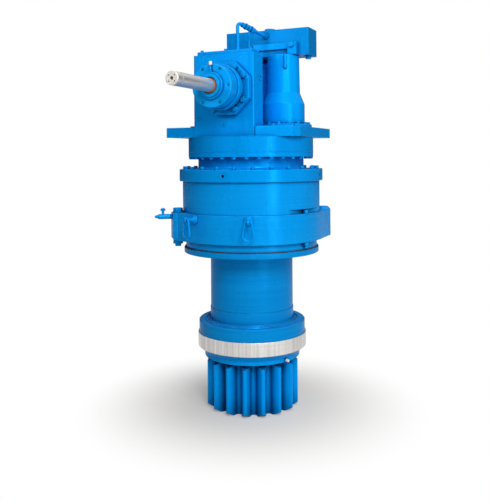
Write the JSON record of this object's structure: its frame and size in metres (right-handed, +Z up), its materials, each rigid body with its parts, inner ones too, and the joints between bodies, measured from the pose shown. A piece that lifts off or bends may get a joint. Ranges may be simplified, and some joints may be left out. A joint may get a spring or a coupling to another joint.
{
  "type": "planetary gear reducer",
  "caption": "Upright right-angle planetary gear reducer: bare input shaft, bevel box, brake tower, oil tank, planetary stage, long neck and output pinion.",
  "frame": {"origin": "on the output axis, in the plane of the output pinion's lower end face", "axes": "+Z up along the output axis, -Y along the input shaft towards its free end (the front), +X to the right seen from the front"},
  "size_m": [0.618, 0.937, 1.5722],
  "materials": {
    "blue_enamel": "gloss enamel over cast and turned steel",
    "machined_band": "fine turned, bright",
    "bare_shaft": "ground, bright, with light rust at its root",
    "gear_steel": "hardened and ground, oiled",
    "bearing_steel": "polished",
    "seal_rubber": "matt",
    "zinc_fitting": "plated, with a pale cap",
    "brake_lining": "sintered friction lining"
  },
  "bodies": {
    "root": {"lip_cover": "blue_enamel", "output_seal": "seal_rubber", "output_housing": "blue_enamel", "output_bearings": "bearing_steel", "pilot_ring": "machined_band", "flange_seal": "seal_rubber", "mounting_ring": "blue_enamel", "ring_bolts": "blue_enamel", "long_bolts": "blue_enamel", "eyebolts": "blue_enamel", "drain_valve": "blue_enamel", "ring_gear_housing": "blue_enamel", "ring_gear": "gear_steel", "sun_bearings": "bearing_steel", "adapter": "blue_enamel", "flange_screws": "blue_enamel", "case_bolts": "blue_enamel", "gear_case": "blue_enamel", "case_plate": "blue_enamel", "frame_bolts": "blue_enamel", "side_bearings": "bearing_steel", "bevel_housing": "blue_enamel", "bevel_housing_lid": "blue_enamel", "input_cartridge": "blue_enamel", "cartridge_bolts": "blue_enamel", "input_bearings": "bearing_steel", "input_cap": "blue_enamel", "cover_screws": "blue_enamel", "input_seal": "seal_rubber", "tower_housing": "blue_enamel", "fixed_brake_plates": "brake_lining", "oil_tank": "blue_enamel", "filler_cap": "blue_enamel", "tank_bracket": "blue_enamel", "oil_pipe": "blue_enamel", "pipe_fittings": "blue_enamel", "sight_tube": "blue_enamel", "box_plugs": "blue_enamel", "grease_nipples": "zinc_fitting"},
    "output": {"output_pinion": "blue_enamel", "output_shaft": "gear_steel", "pinion_end_plate": "gear_steel", "end_plate_bolts": "gear_steel", "planet_carrier": "gear_steel", "planet_pins": "bearing_steel", "planet_bearings": "bearing_steel"},
    "planet_1": {"planet_gear_1": "gear_steel"},
    "planet_2": {"planet_gear_2": "gear_steel"},
    "planet_3": {"planet_gear_3": "gear_steel"},
    "sun": {"sun_shaft": "gear_steel", "main_gear": "gear_steel"},
    "intermediate": {"intermediate_shaft": "gear_steel", "bevel_wheel": "gear_steel"},
    "input": {"input_shaft": "bare_shaft"},
    "brake": {"brake_shaft": "gear_steel", "turning_brake_plates": "brake_lining"},
    "link_left": {"lifting_link_left": "blue_enamel"},
    "link_right": {"lifting_link_right": "blue_enamel"},
    "knob": {"valve_knob": "blue_enamel"}
  },
  "joints": [
    {"name": "output_spin", "type": "hinge", "parent": "root", "child": "output", "pos_m": [0, 0, 0.1], "axis": [0, 0, 1], "continuous": true},
    {"name": "planet_1_spin", "type": "hinge", "parent": "output", "child": "planet_1", "pos_m": [0.14625, 0, 0.867], "axis": [0, 0, 1], "continuous": true},
    {"name": "planet_2_spin", "type": "hinge", "parent": "output", "child": "planet_2", "pos_m": [-0.07312, 0.12666, 0.867], "axis": [0, 0, 1], "continuous": true},
    {"name": "planet_3_spin", "type": "hinge", "parent": "output", "child": "planet_3", "pos_m": [-0.07312, -0.12666, 0.867], "axis": [0, 0, 1], "continuous": true},
    {"name": "sun_spin", "type": "hinge", "parent": "root", "child": "sun", "pos_m": [0, 0, 0.9], "axis": [0, 0, 1], "continuous": true},
    {"name": "intermediate_spin", "type": "hinge", "parent": "root", "child": "intermediate", "pos_m": [0, -0.11, 1.15], "axis": [0, 0, 1], "continuous": true},
    {"name": "input_spin", "type": "hinge", "parent": "root", "child": "input", "pos_m": [0, -0.4, 1.293], "axis": [0, 1, 0], "continuous": true},
    {"name": "brake_spin", "type": "hinge", "parent": "root", "child": "brake", "pos_m": [0.13009, 0.04607, 1.15], "axis": [0, 0, 1], "continuous": true},
    {"name": "link_left_swing", "type": "hinge", "parent": "root", "child": "link_left", "pos_m": [-0.13892, -0.30484, 0.784], "axis": [-0.91, 0.4147, 0], "range_deg": [-20, 120]},
    {"name": "link_right_swing", "type": "hinge", "parent": "root", "child": "link_right", "pos_m": [0.12604, -0.31039, 0.784], "axis": [-0.9265, -0.3762, 0], "range_deg": [-20, 120]},
    {"name": "knob_turn", "type": "hinge", "parent": "root", "child": "knob", "pos_m": [-0.29148, -0.22773, 0.8], "axis": [0, 0, 1], "range_deg": [0, 90]}
  ],
  "couplings": [
    {"joint": "planet_1_spin", "follows": "output_spin", "ratio": -2.6667},
    {"joint": "planet_2_spin", "follows": "output_spin", "ratio": -2.6667},
    {"joint": "planet_3_spin", "follows": "output_spin", "ratio": -2.6667},
    {"joint": "sun_spin", "follows": "output_spin", "ratio": 5},
    {"joint": "intermediate_spin", "follows": "output_spin", "ratio": -11.176},
    {"joint": "brake_spin", "follows": "output_spin", "ratio": -6.129},
    {"joint": "input_spin", "follows": "output_spin", "ratio": 22.353}
  ]
}
